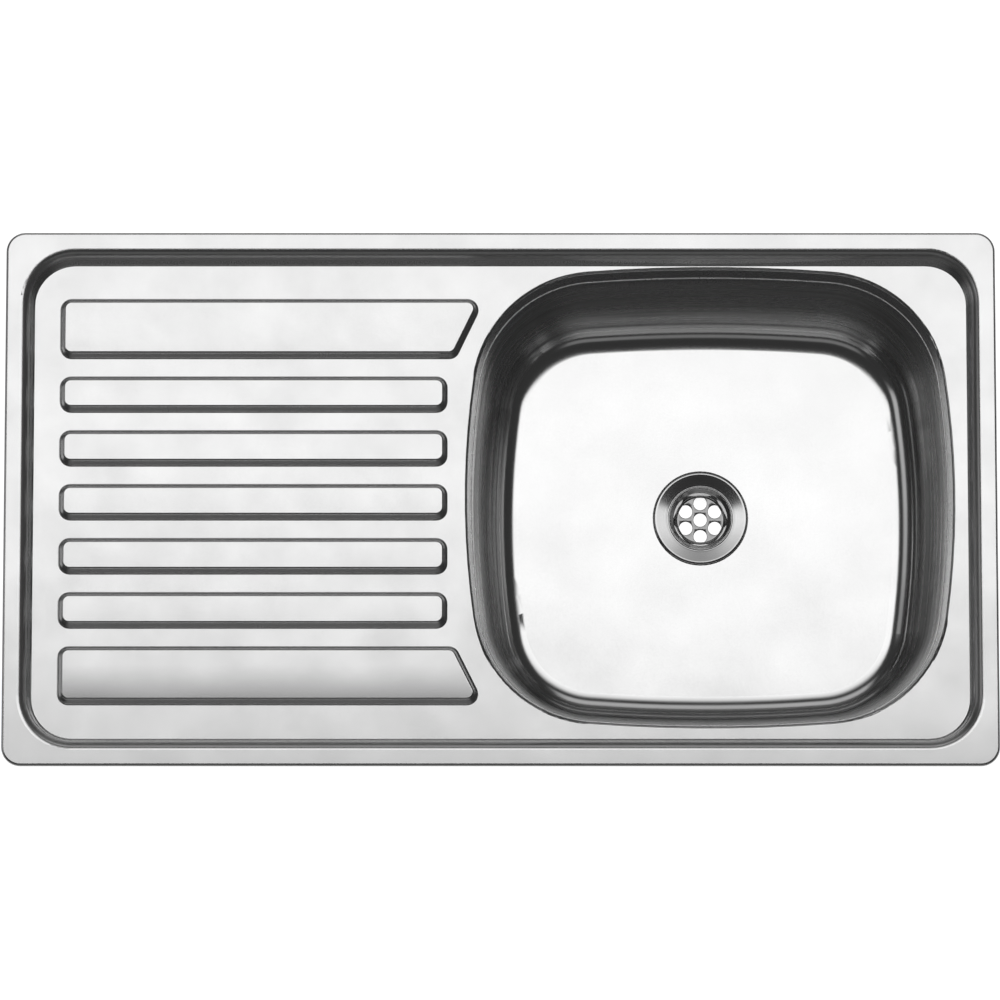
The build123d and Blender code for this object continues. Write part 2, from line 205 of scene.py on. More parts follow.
# %% Lights
studio_dark = 0.035
world = bpy.data.worlds.new("studio_dark")
world.use_nodes = True
bpy.context.scene.world = world
world_tree = world.node_tree
world_color = light_path_mix(world_tree, grey(1.0), grey(studio_dark))
world_tree.links.new(world_color, world_tree.nodes["Background"].inputs["Color"])


def edge_fade(tree, coordinate, low_fade, high_fade):
    """A value that rises over the first share of a side and falls over the last."""
    rise = add(tree, "ShaderNodeMapRange", {"From Min": 0.0, "From Max": low_fade})
    fall = add(tree, "ShaderNodeMapRange", {"From Min": 1.0, "From Max": 1.0 - high_fade})
    both = add(tree, "ShaderNodeMath", operation="MULTIPLY")
    for ramp, socket in ((rise, both.inputs[0]), (fall, both.inputs[1])):
        ramp.interpolation_type = "SMOOTHSTEP"
        tree.links.new(coordinate, ramp.inputs["Value"])
        tree.links.new(ramp.outputs["Result"], socket)
    return both.outputs["Value"]


def softbox(name, place, look_at, size, radiance, fade):
    """A soft light that faces a point, with the share of each side over which it fades.

    Sizes are in metres, and the fades are those at the left, right, near and far edge.
    """
    data = bpy.data.lights.new(name, "AREA")
    data.shape = "RECTANGLE"
    data.size, data.size_y = size
    data.energy = radiance * pi * size[0] * size[1]
    data.use_nodes = True
    tree = data.node_tree
    split = add(tree, "ShaderNodeSeparateXYZ")
    tree.links.new(add(tree, "ShaderNodeNewGeometry").outputs["Parametric"], split.inputs["Vector"])
    left, right, near, far = fade
    across = edge_fade(tree, split.outputs["X"], left, right)
    along = edge_fade(tree, split.outputs["Y"], near, far)
    strength = add(tree, "ShaderNodeMath", operation="MULTIPLY")
    tree.links.new(across, strength.inputs[0])
    tree.links.new(along, strength.inputs[1])
    tree.links.new(strength.outputs["Value"], tree.nodes["Emission"].inputs["Strength"])
    light = put_in_scene(name, data)
    light.location = place
    facing = (Vector(look_at) - Vector(place)).to_track_quat("-Z", "Y")
    light.rotation_euler = facing.to_euler()
    print(name, "gives", round(data.energy, 1), "W")


sink_middle = (0.0, 0.0, 0.0)
softbox("overhead_softbox", place=(0.35, 1.84, 4.45), look_at=(0.35, 1.84, 0.0),
        size=(4.7, 3.3), radiance=1.27, fade=(0.15, 0.2, 0.06, 0.85))
softbox("left_softbox", place=(-1.6, 0.1, 1.3), look_at=sink_middle,
        size=(1.2, 1.1), radiance=0.5, fade=(0.3, 0.3, 0.3, 0.3))
softbox("back_softbox", place=(0.0, 1.9, 1.2), look_at=sink_middle,
        size=(2.4, 1.2), radiance=0.45, fade=(0.2, 0.2, 0.3, 0.3))
softbox("front_fill", place=(0.0, -1.6, 1.3), look_at=sink_middle,
        size=(2.4, 0.8), radiance=0.16, fade=(0.2, 0.2, 0.3, 0.3))

# %% [markdown]
# Steel needs little colour. What makes it steel is how sharply it mirrors and how unevenly: a
# pressed sheet is never quite flat, rolling leaves it a little cloudy, and grinding leaves lines.
# Each of these is an effect of its own, so each becomes a node group with named sockets, and
# every finish then uses it with its own values.

# %% Helpers for effects
whole_range = (0.0, 1.0)
noise_reach = (0.3, 0.7)


def new_effect(name, numbers, output):
    """A node group that reads a Position and named numbers, and puts out one value."""
    group = bpy.data.node_groups.new(name, "ShaderNodeTree")
    sockets = group.interface
    sockets.new_socket(name="Position", in_out="INPUT", socket_type="NodeSocketVector")
    for socket, value in numbers.items():
        made = sockets.new_socket(name=socket, in_out="INPUT", socket_type="NodeSocketFloat")
        made.default_value = value
    sockets.new_socket(name=output, in_out="OUTPUT", socket_type="NodeSocketFloat")
    given = add(group, "NodeGroupInput").outputs
    return group, given, add(group, "NodeGroupOutput").inputs[output]


def feed(tree, socket, term):
    """Links a socket to another one, or gives it a plain value."""
    if isinstance(term, bpy.types.NodeSocket):
        tree.links.new(term, socket)
    else:
        socket.default_value = term


def calculate(tree, operation, *terms):
    """The result of a math node on sockets or plain numbers."""
    made = add(tree, "ShaderNodeMath", operation=operation)
    for socket, term in zip(made.inputs, terms):
        feed(tree, socket, term)
    return made.outputs["Value"]


def blend_between(tree, value, source, target, curve="LINEAR"):
    """A value carried from one range to another, and held at its ends."""
    made = add(tree, "ShaderNodeMapRange", interpolation_type=curve)
    names = ("From Min", "From Max", "To Min", "To Max")
    for name, term in zip(names, (*source, *target)):
        feed(tree, made.inputs[name], term)
    feed(tree, made.inputs["Value"], value)
    return made.outputs["Result"]


def noise(tree, position, lumps_per_metre, detail, roughness=0.5):
    """A smooth random value, nearly all of it within noise_reach."""
    made = add(tree, "ShaderNodeTexNoise", {"Detail": detail, "Roughness": roughness})
    feed(tree, made.inputs["Vector"], position)
    feed(tree, made.inputs["Scale"], lumps_per_metre)
    return made.outputs["Fac"]


def stretched(tree, position, scale):
    """The position with each axis scaled by its own number."""
    made = add(tree, "ShaderNodeVectorMath", operation="MULTIPLY")
    factors = add(tree, "ShaderNodeCombineXYZ")
    for socket, term in zip(factors.inputs, scale):
        feed(tree, socket, term)
    tree.links.new(position, made.inputs[0])
    tree.links.new(factors.outputs["Vector"], made.inputs[1])
    return made.outputs["Vector"]


# %% Effects of the steel sheet
def build_waviness():
    """Broad shallow waves of a pressed sheet, as a height in metres."""
    numbers = {"Waves": 10.0, "Depth": 0.001}
    group, given, height = new_effect("sheet waviness", numbers, "Height")
    lumps = noise(group, given["Position"], given["Waves"], detail=1.0)
    group.links.new(calculate(group, "MULTIPLY", lumps, given["Depth"]), height)
    return group


def build_cloud():
    """Soft blotches with a fine grain in them, from 0 to 1, for colour and roughness."""
    blotch_share, grain_share = 0.7, 0.3
    numbers = {"Blotches": 18.0, "Grain": 900.0}
    group, given, cloud = new_effect("rolled cloud", numbers, "Cloud")
    blotches = noise(group, given["Position"], given["Blotches"], detail=3.0)
    grain = noise(group, given["Position"], given["Grain"], detail=2.0)
    fine = calculate(group, "MULTIPLY", grain, grain_share)
    both = calculate(group, "MULTIPLY_ADD", blotches, blotch_share, fine)
    group.links.new(blend_between(group, both, noise_reach, whole_range), cloud)
    return group


def build_lines():
    """Lines that a grinding belt leaves along the rim: long across X and Y, fine in height."""
    group, given, lines = new_effect("ground lines", {"Along": 5.0, "Fine": 130.0}, "Lines")
    scales = (given["Along"], given["Along"], given["Fine"])
    position = stretched(group, given["Position"], scales)
    streaks = noise(group, position, 1.0, detail=4.0, roughness=0.65)
    group.links.new(blend_between(group, streaks, noise_reach, whole_range), lines)
    return group


def build_band():
    """1 between two heights, and 0 beyond a soft edge at each of them."""
    numbers = {"Low": 0.0, "High": 1.0, "Soft": 0.01}
    group, given, band = new_effect("height band", numbers, "Band")
    split = add(group, "ShaderNodeSeparateXYZ")
    group.links.new(given["Position"], split.inputs["Vector"])
    above = calculate(group, "SUBTRACT", split.outputs["Z"], given["Low"])
    below = calculate(group, "SUBTRACT", given["High"], split.outputs["Z"])
    soft_edge = (0.0, given["Soft"])
    rise = blend_between(group, above, soft_edge, whole_range, "SMOOTHSTEP")
    fall = blend_between(group, below, soft_edge, whole_range, "SMOOTHSTEP")
    group.links.new(calculate(group, "MULTIPLY", rise, fall), band)
    return group


def build_stretch():
    """0 on level sheet and 1 on its slopes, which were stretched over the die.

    It is given the surface's normal, whose Z falls from 1 as the sheet leans over.
    """
    numbers = {"Level": 0.985, "Slope": 0.85}
    group, given, stretch = new_effect("stretched slope", numbers, "Stretch")
    split = add(group, "ShaderNodeSeparateXYZ")
    group.links.new(given["Position"], split.inputs["Vector"])
    limits = (given["Level"], given["Slope"])
    lean = blend_between(group, split.outputs["Z"], limits, whole_range, "SMOOTHSTEP")
    group.links.new(lean, stretch)
    return group


waviness, rolled_cloud, stretched_slope = build_waviness(), build_cloud(), build_stretch()
ground_lines, height_band = build_lines(), build_band()
print("effects:", [group.name for group in bpy.data.node_groups])

# %% [markdown]
# The raised tops of the ribs aren't flat: each bulges a little along its middle, so that it
# mirrors a brighter strip at its back than at its front. The bulge is a parabola over each rib's
# width. The rows lie at an even pitch, so the distance to the nearest row comes from one folding
# node. The two wide ribs at the sides break that pitch. They are flat at the back and sag from a
# line near it to the front, so they get a parabola of their own.

# %% The bulge of the ribs
rib_pitch = 44.1 * MM
rib_field_shift = -0.8 * MM
wide_rib_centre = 141.5 * MM
wide_rib_start = 115.0 * MM
wide_rib_crest = 8.0 * MM
rib_height = 9.0 * MM
rib_shoulder = 0.8 * rib_height
above_ribs = 1.2 * rib_height
recess_depth = 18.0 * MM
deck_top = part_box("drainboard_deck")[1].z - recess_depth


def build_bulge():
    """The bulge of the rib tops as a height in metres, and none on the deck between them."""
    numbers = {"Narrow": 0.3, "Wide": 0.6}
    group, given, height = new_effect("rib bulge", numbers, "Height")
    split = add(group, "ShaderNodeSeparateXYZ")
    group.links.new(given["Position"], split.inputs["Vector"])
    across = calculate(group, "SUBTRACT", split.outputs["Y"], rib_field_shift)
    to_row = calculate(group, "PINGPONG", calculate(group, "ABSOLUTE", across), rib_pitch / 2)
    side = calculate(group, "ABSOLUTE", across)
    centre = calculate(group, "MULTIPLY", calculate(group, "SIGN", across), wide_rib_centre)
    behind = calculate(group, "SUBTRACT", across, centre)
    to_wide = calculate(group, "MAXIMUM", calculate(group, "SUBTRACT", wide_rib_crest, behind), 0.0)
    is_wide = calculate(group, "GREATER_THAN", side, wide_rib_start)
    is_narrow = calculate(group, "SUBTRACT", 1.0, is_wide)
    drops = []
    for offset, is_here, curve in ((to_row, is_narrow, "Narrow"), (to_wide, is_wide, "Wide")):
        square = calculate(group, "MULTIPLY", offset, offset)
        here = calculate(group, "MULTIPLY", square, is_here)
        drops.append(calculate(group, "MULTIPLY", here, given[curve]))
    top = (deck_top + rib_shoulder, deck_top + rib_height)
    on_top = blend_between(group, split.outputs["Z"], top, (0.0, -1.0), "SMOOTHSTEP")
    below_rim = calculate(group, "LESS_THAN", split.outputs["Z"], deck_top + above_ribs)
    mask = calculate(group, "MULTIPLY", on_top, below_rim)
    drop = calculate(group, "ADD", *drops)
    group.links.new(calculate(group, "MULTIPLY", drop, mask), height)
    return group


rib_bulge = build_bulge()
print("the deck lies", round(deck_top / MM, 1), "mm from the worktop's surface")

# %% [markdown]
# Every finish starts from the same helper: a material whose shader has its plain values set on
# its own sockets, and the Object coordinates that all patterns read. Since every piece keeps its
# object at the origin, those coordinates are the sink's own, in metres.

# %% Helpers for finishes
def new_finish(name, metallic, roughness):
    """A material, its tree, its shader and the position that patterns read.

    A pattern may take the place of the plain roughness later.
    """
    material = bpy.data.materials.new(name)
    material.use_nodes = True
    tree = material.node_tree
    shader = tree.nodes["Principled BSDF"]
    shader.inputs["Metallic"].default_value = metallic
    shader.inputs["Roughness"].default_value = roughness
    print("finish:", name)
    return material, tree, shader, add(tree, "ShaderNodeTexCoord").outputs["Object"]


def effect(tree, group, position, values=None):
    """An effect placed in a material with its own values, and what it puts out."""
    made = add(tree, "ShaderNodeGroup", node_tree=group)
    tree.links.new(position, made.inputs["Position"])
    for name, value in (values or {}).items():
        feed(tree, made.inputs[name], value)
    return made.outputs[0]


def tint(tree, factor, low, high):
    """A colour between two, which may be sockets or three numbers."""
    made = add(tree, "ShaderNodeMix", data_type="RGBA")
    tree.links.new(factor, made.inputs["Factor"])
    for name, color in (("A", low), ("B", high)):
        given = isinstance(color, bpy.types.NodeSocket)
        feed(tree, made.inputs[name], color if given else (*color, 1))
    return made.outputs["Result"]


def vary_roughness(tree, shader, value, source, target):
    """Lets the shader's roughness follow a value."""
    tree.links.new(blend_between(tree, value, source, target), shader.inputs["Roughness"])


def emboss(tree, shader, height, distance=1.0):
    """Adds a height in metres to whatever bump the shader already has."""
    made = add(tree, "ShaderNodeBump", {"Distance": distance})
    tree.links.new(height, made.inputs["Height"])
    if shader.inputs["Normal"].links:
        tree.links.new(shader.inputs["Normal"].links[0].from_socket, made.inputs["Normal"])
    tree.links.new(made.outputs["Normal"], shader.inputs["Normal"])


# %% [markdown]
# The deck has the satin finish that rolling and a light brush leave: bright, a little cloudy,
# with a grain so fine that it only softens what it mirrors. Its waves are broad and very shallow.
# The same finish serves the lugs, which are cut from the same sheet.

# %% Deck steel
above_rim = 100.0 * MM
slope_roughening = 0.15
deck_steel, tree, shader, position = new_finish("satin_deck_steel", 1.0, 0.26)
surface_normal = add(tree, "ShaderNodeTexCoord").outputs["Normal"]
cloud = effect(tree, rolled_cloud, position, {"Blotches": 22.0, "Grain": 1400.0})
slope = effect(tree, stretched_slope, surface_normal)
tree.links.new(tint(tree, cloud, grey(0.765), grey(0.805)), shader.inputs["Base Color"])
level_roughness = blend_between(tree, cloud, whole_range, (0.23, 0.18))
step_band = {"Low": deck_top + rib_height, "High": above_rim, "Soft": 3.0 * MM}
above_ribs_only = effect(tree, height_band, position, step_band)
pressed = calculate(tree, "MULTIPLY", slope, above_ribs_only)
roughened = calculate(tree, "MULTIPLY_ADD", pressed, slope_roughening, level_roughness)
tree.links.new(roughened, shader.inputs["Roughness"])
emboss(tree, shader, effect(tree, waviness, position, {"Waves": 9.0, "Depth": 0.0003}))
emboss(tree, shader, effect(tree, rib_bulge, position))
grain = noise(tree, position, 1600.0, detail=1.0)
emboss(tree, shader, grain, distance=0.0015 * MM)

# %% [markdown]
# The bowl is deep-drawn, so its walls are ground to hide the marks of the tool: the belt runs
# along the rim and leaves long streaks, which spread what the walls mirror and make them darker.
# The floor is polished, and only the soft band between two heights tells the shader which is
# which.

# %% Bowl steel
wall_low = -140.0 * MM
wall_high = -33.0 * MM
wall_soft = 18.0 * MM
bowl_steel, tree, shader, position = new_finish("ground_bowl_steel", 1.0, 0.25)
cloud = effect(tree, rolled_cloud, position, {"Blotches": 14.0, "Grain": 900.0})
lines = effect(tree, ground_lines, position)
wall_band = {"Low": wall_low, "High": wall_high, "Soft": wall_soft}
wall = effect(tree, height_band, position, wall_band)
floor_color = tint(tree, cloud, grey(0.77), grey(0.81))
wall_color = tint(tree, lines, grey(0.48), grey(0.88))
tree.links.new(tint(tree, wall, floor_color, wall_color), shader.inputs["Base Color"])
polished_roughness = blend_between(tree, cloud, whole_range, (0.18, 0.13))
ground_roughness = blend_between(tree, lines, whole_range, (0.34, 0.22))
difference = calculate(tree, "SUBTRACT", ground_roughness, polished_roughness)
extra = calculate(tree, "MULTIPLY", difference, wall)
roughness = calculate(tree, "ADD", polished_roughness, extra)
tree.links.new(roughness, shader.inputs["Roughness"])
emboss(tree, shader, effect(tree, waviness, position, {"Waves": 12.0, "Depth": 0.0004}))
emboss(tree, shader, calculate(tree, "MULTIPLY", lines, wall), distance=0.02 * MM)

# %% [markdown]
# The waste is a turned and polished pressing, so its marks are rings. Mapping moves the pattern's
# centre onto the waste, and a noise that reads only the distance from that centre gives rings of
# uneven strength. The grid, sunk at the bottom of the cup, is given a dark grey colour: painted
# shade.

# %% Waste steel
# Where the painted shade of the sunk grid ends: full within 18 mm of the centre, gone by 20 mm.
grid_shade_edge = (18.0 * MM, 20.0 * MM)
rings_per_metre = 2500.0
mounts = {mount["name"]: mount for mount in frame["record"]["mounts"]}
outlet = Vector(mounts["waste_outlet"]["pos_m"])
waste_steel, tree, shader, position = new_finish("turned_waste_steel", 1.0, 0.16)
centred = add(tree, "ShaderNodeMapping", {"Location": (-outlet.x, -outlet.y, 0.0)})
tree.links.new(position, centred.inputs["Vector"])
flat = stretched(tree, centred.outputs["Vector"], (1.0, 1.0, 0.0))
from_centre = add(tree, "ShaderNodeVectorMath", operation="LENGTH")
tree.links.new(flat, from_centre.inputs[0])
ring_number = calculate(tree, "MULTIPLY", from_centre.outputs["Value"], rings_per_metre)
rings = noise(tree, ring_number, 1.0, detail=2.0)
cloud = effect(tree, rolled_cloud, position, {"Blotches": 60.0, "Grain": 2000.0})
polished = tint(tree, cloud, grey(0.62), grey(0.70))
# Painted shade: near the centre the colour falls to a dark grey over the whole grid.
grid_shade = blend_between(tree, from_centre.outputs["Value"], grid_shade_edge, (1.0, 0.0))
tree.links.new(tint(tree, grid_shade, polished, grey(0.34)), shader.inputs["Base Color"])
vary_roughness(tree, shader, rings, noise_reach, (0.10, 0.18))
emboss(tree, shader, rings, distance=0.003 * MM)

# %% [markdown]
# The ground weld between collar and bowl is the brightest line of the bowl. A belt crossed it, so
# its streaks are short and its colour hardly varies.

# %% Weld steel
weld_steel, tree, shader, position = new_finish("ground_weld_steel", 1.0, 0.3)
beads = noise(tree, position, 420.0, detail=2.0)
tree.links.new(tint(tree, beads, grey(0.72), grey(0.84)), shader.inputs["Base Color"])
vary_roughness(tree, shader, beads, noise_reach, (0.24, 0.4))
emboss(tree, shader, beads, distance=0.08 * MM)

# %% [markdown]
# The clamps are zinc-plated mild steel. Fresh plating is a pale bluish grey with faint warmer
# stains where the passivation dried, and a fine crystalline grain, which cells of slightly
# different roughness stand for.

# %% Zinc plating
zinc, tree, shader, position = new_finish("zinc_plating", 1.0, 0.34)
crystals = add(tree, "ShaderNodeTexVoronoi", {"Scale": 700.0})
tree.links.new(position, crystals.inputs["Vector"])
crystal = add(tree, "ShaderNodeSeparateColor")
tree.links.new(crystals.outputs["Color"], crystal.inputs["Color"])
stains = effect(tree, rolled_cloud, position, {"Blotches": 70.0, "Grain": 1500.0})
bluish, warmer = (0.60, 0.62, 0.65), (0.70, 0.69, 0.66)
tree.links.new(tint(tree, stains, bluish, warmer), shader.inputs["Base Color"])
vary_roughness(tree, shader, crystal.outputs["Red"], whole_range, (0.28, 0.42))
emboss(tree, shader, crystals.outputs["Distance"], distance=0.01 * MM)

# %% [markdown]
# The soft finishes are matt. Closed-cell foam shows a skin of tiny dimples, bitumen sheet a
# coarse grain with a dusting of talc, and rubber a fine bloom. Off-white plastic is smooth with a
# faint flow pattern, and lets a little light into itself.

# %% Foam and bitumen
gasket_foam, tree, shader, position = new_finish("closed_cell_foam", 0.0, 0.85)
cells = add(tree, "ShaderNodeTexVoronoi", {"Scale": 1600.0})
tree.links.new(position, cells.inputs["Vector"])
dimples = cells.outputs["Distance"]
tree.links.new(tint(tree, dimples, grey(0.055), grey(0.025)), shader.inputs["Base Color"])
emboss(tree, shader, dimples, distance=0.25 * MM)

bitumen, tree, shader, position = new_finish("bitumen_sheet", 0.0, 0.8)
talc = effect(tree, rolled_cloud, position, {"Blotches": 45.0, "Grain": 1100.0})
bare, dusted = (0.030, 0.030, 0.032), (0.075, 0.074, 0.072)
tree.links.new(tint(tree, talc, bare, dusted), shader.inputs["Base Color"])
vary_roughness(tree, shader, talc, whole_range, (0.65, 0.9))
sheet_grain = noise(tree, position, 650.0, detail=3.0, roughness=0.6)
emboss(tree, shader, sheet_grain, distance=0.5 * MM)

# %% Rubber and plastic
rubber, tree, shader, position = new_finish("black_rubber", 0.0, 0.6)
bloom = effect(tree, rolled_cloud, position, {"Blotches": 110.0, "Grain": 2500.0})
tree.links.new(tint(tree, bloom, grey(0.018), grey(0.045)), shader.inputs["Base Color"])
vary_roughness(tree, shader, bloom, whole_range, (0.45, 0.7))
emboss(tree, shader, noise(tree, position, 1800.0, detail=2.0), distance=0.03 * MM)

white_plastic, tree, shader, position = new_finish("off_white_plastic", 0.0, 0.42)
flow = effect(tree, rolled_cloud, position, {"Blotches": 35.0, "Grain": 1200.0})
off_white, paler = (0.80, 0.80, 0.77), (0.87, 0.87, 0.85)
tree.links.new(tint(tree, flow, off_white, paler), shader.inputs["Base Color"])
vary_roughness(tree, shader, flow, whole_range, (0.36, 0.5))
shader.inputs["Subsurface Weight"].default_value = 0.08
shader.inputs["Subsurface Scale"].default_value = 1.0 * MM
emboss(tree, shader, noise(tree, position, 900.0, detail=2.0), distance=0.02 * MM)

# %% Give the CAD parts their finishes
finishes = {"deck_steel": deck_steel, "bowl_steel": bowl_steel, "waste_steel": waste_steel,
            "zinc": zinc, "gasket_foam": gasket_foam, "bitumen": bitumen, "rubber": rubber,
            "white_plastic": white_plastic}
for piece in frame["nodes"].values():
    for part_slot in piece.material_slots:
        part_slot.material = finishes[part_slot.material.name.split(".")[0]]
print("finishes:", sorted(finishes))

# %% [markdown]
# The CAD model keeps its parts plain where a maker's hand would round an edge or cut a thread.
# The next cells remake those parts in the same places. They share a few helpers: one turns a mesh
# into a piece that rides on its body, one spins a drawn outline into a turned part, one winds a
# thread round a shaft, and the others move, join and copy meshes.

# %% Helpers for pieces
record = frame["record"]
bodies = record["behaviour"]["bodies"]
slot_of = {part["node"]: part["material_slot"] for part in record["subparts"]}
body_of = {node: body for body, nodes in bodies.items() for node in nodes}
crease_angle = radians(35)
merge_distance = 0.002 * MM


def finish_piece(shape, name, node, finish=None):
    """Makes a piece of a mesh, with the body and the slot of the CAD node that it belongs to."""
    bmesh.ops.remove_doubles(shape, verts=shape.verts, dist=merge_distance)
    bmesh.ops.recalc_face_normals(shape, faces=shape.faces)
    mesh = bpy.data.meshes.new(name)
    shape.to_mesh(mesh)
    shape.free()
    mesh.shade_smooth()
    mesh.set_sharp_from_angle(angle=crease_angle)
    mesh.materials.append(finish or finishes[slot_of[node]])
    piece = put_in_scene(name, mesh)
    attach(piece, body_of[node])
    return piece


def turned(shape, outline, steps, closed=True):
    """Spins an outline of (radius, height) points in millimetres about Z."""
    points = [shape.verts.new((radius * MM, 0, height * MM)) for radius, height in outline]
    pairs = list(zip(points, points[1:] + points[:1]))
    lines = [shape.edges.new(pair) for pair in (pairs if closed else pairs[:-1])]
    full_turn = {"axis": (0, 0, 1), "angle": 2 * pi, "steps": steps, "use_merge": True}
    bmesh.ops.spin(shape, geom=points + lines, **full_turn)


def thread(shape, core, crest, pitch, low, high, steps):
    """Winds a ridge round Z from one height to another, all in millimetres.

    The ridge is a trapezium of (radius, share of the pitch), with its foot sunk in the shaft.
    """
    foot, foot_share, tip_share = core - 0.2, 0.45, 0.08
    ridge = ((foot, -foot_share), (crest, -tip_share), (crest, tip_share), (foot, foot_share))
    start = low + pitch / 2
    corners = [(radius * MM, 0, (start + share * pitch) * MM) for radius, share in ridge]
    points = [shape.verts.new(corner) for corner in corners]
    lines = [shape.edges.new(pair) for pair in zip(points, points[1:] + points[:1])]
    count = round(((high - low) / pitch - 1) * steps)
    rise = (0, 0, pitch / steps * MM)
    turn = 2 * pi * count / steps
    winding = {"axis": (0, 0, 1), "angle": turn, "steps": count, "dvec": rise}
    wound = bmesh.ops.spin(shape, geom=points + lines, **winding)
    last = [edge for edge in wound["geom_last"] if isinstance(edge, bmesh.types.BMEdge)]
    for loop in (lines, last):
        bmesh.ops.contextual_create(shape, geom=loop)


def place_all(shape, matrix):
    """Moves every vertex of a mesh."""
    bmesh.ops.transform(shape, matrix=matrix, verts=shape.verts)


def join_to(shape, part):
    """Adds a second mesh to a first, and frees the second."""
    carrier = bpy.data.meshes.new("carrier")
    part.to_mesh(carrier)
    part.free()
    shape.from_mesh(carrier)
    bpy.data.meshes.remove(carrier)


def merged_copy(node):
    """A copy of a CAD node's mesh whose loose triangles are joined at their corners."""
    shape = bmesh.new()
    shape.from_mesh(frame["nodes"][node].data)
    bmesh.ops.remove_doubles(shape, verts=shape.verts, dist=merge_distance)
    return shape


# %% [markdown]
# The waste is the most detailed part of the sink, and the photograph shows it well: a shallow
# cone with a fine groove near its rim, a raised lip round the cup, a sloping wall and a flat grid
# with seven holes. It is one turned outline, down through the bore to the thread and back up
# under the flange, given in millimetres as the distance from the centre and the height against
# the flange's top. The grid is a disc with seven round holes filled in between its circles, given
# its thickness and softened round each hole.

# %% The waste's turned body
waste_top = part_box("waste_body")[1].z
flange_outline = [(38.8, -1.4), (38.75, -1.1), (38.5, -0.8), (38.0, -0.55), (37.3, -0.38),
                  (36.7, -0.33), (36.3, -0.37)]
cone_outline = [(35.9, -0.44), (35.4, -0.53), (28.6, -1.68), (28.1, -1.77), (27.5, -1.88),
                (27.0, -2.0)]
lip_outline = [(26.7, -1.95), (26.4, -1.72), (26.1, -1.62), (25.7, -1.68), (25.4, -1.9),
               (25.2, -2.3)]
cup_outline = [(24.9, -2.9), (24.5, -3.3), (22.9, -4.5), (22.4, -4.95), (22.1, -5.4),
               (20.5, -9.2), (20.2, -9.8), (19.6, -10.2), (18.6, -10.35)]
bore_outline = [(18.6, -11.9), (20.0, -11.95), (20.0, -46.8), (20.4, -47.21), (22.1, -47.21),
                (22.5, -46.8)]
tail_outline = [(22.5, -21.96), (23.3, -21.96), (23.3, -20.46), (23.9, -20.46), (23.9, -4.81),
                (27.4, -4.81)]
seat_outline = [(27.4, -3.89), (30.0, -3.89)]
waste_outline = (flange_outline + cone_outline + lip_outline + cup_outline + bore_outline
                 + tail_outline + seat_outline)
waste = bmesh.new()
turned(waste, waste_outline, steps=128)
thread(waste, core=22.5, crest=23.9, pitch=2.309, low=-47.0, high=-22.1, steps=72)
print("the waste's turned body has", len(waste.faces), "faces")

# %% The waste's grid
grid_radius = 18.8
hole_radius = 5.5
hole_ring = 13.8
grid_top = -10.39
grid_thickness = 1.5
hole_easing = 0.4
grid_sides, hole_sides = 96, 40
hole_angles = range(90, 450, 60)
fold_angle = radians(60)

grid = bmesh.new()
bmesh.ops.create_circle(grid, segments=grid_sides, radius=grid_radius * MM)
hole_places = [Vector((0, 0, 0))]
for angle in hole_angles:
    turn = Matrix.Rotation(radians(angle), 4, "Z")
    hole_places.append(turn @ Vector((hole_ring * MM, 0, 0)))
hole_size = {"segments": hole_sides, "radius": hole_radius * MM}
for hole_place in hole_places:
    bmesh.ops.create_circle(grid, matrix=Matrix.Translation(hole_place), **hole_size)
bmesh.ops.triangle_fill(grid, edges=grid.edges, use_beauty=True, normal=(0, 0, 1))
bmesh.ops.solidify(grid, geom=grid.faces, thickness=grid_thickness * MM)
filled_top = max(vert.co.z for vert in grid.verts)
place_all(grid, Matrix.Translation((0, 0, grid_top * MM - filled_top)))


def on_hole_rim(edge):
    """Whether an edge runs along the top of a hole."""
    near_top, inside = (grid_top - 0.1) * MM, (grid_radius - 0.3) * MM
    level = all(vert.co.z > near_top for vert in edge.verts)
    folded = len(edge.link_faces) == 2 and edge.calc_face_angle() > fold_angle
    return level and folded and edge.verts[0].co.xy.length < inside


rims = [edge for edge in grid.edges if on_hole_rim(edge)]
easing = {"offset": hole_easing * MM, "segments": 3, "profile": 0.5, "material": -1}
bmesh.ops.bevel(grid, geom=rims, affect="EDGES", **easing)
join_to(waste, grid)
place_all(waste, Matrix.Translation((outlet.x, outlet.y, waste_top)))
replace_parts(finish_piece(waste, "waste_with_grid", "waste_body"), "waste_body")
print("the grid has", len(hole_places), "holes and", len(rims), "softened edges round them")

# %% [markdown]
# Collar and bowl are two drawings welded edge to edge, and the weld is ground nearly flush. What
# remains is a fine bright line all round the bowl, some way below the rim. A plane cuts the bowl
# just under its top, the inner of the two cut lines is followed from vertex to vertex, and a thin
# round bead runs along it.

# %% The ground weld
bead_radius = 0.65 * MM
cut_below_top = 0.3 * MM
bowl_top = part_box("bowl")[1].z


def cut_loops(node, height):
    """The closed lines along which a level plane cuts a node, each as a list of points."""
    shape = merged_copy(node)
    everything = shape.verts[:] + shape.edges[:] + shape.faces[:]
    level_plane = {"plane_co": (0, 0, height), "plane_no": (0, 0, 1)}
    cut = bmesh.ops.bisect_plane(shape, geom=everything, **level_plane)
    open_edges = [edge for edge in cut["geom_cut"] if isinstance(edge, bmesh.types.BMEdge)]
    loops = []
    while open_edges:
        edge = open_edges[0]
        vert = edge.verts[0]
        points = []
        while edge:
            open_edges.remove(edge)
            points.append(vert.co.copy())
            vert = edge.other_vert(vert)
            edge = next((step for step in vert.link_edges if step in open_edges), None)
        loops.append(points)
    shape.free()
    return loops


def reach(points):
    """How far a line goes to the right."""
    return max(point.x for point in points)


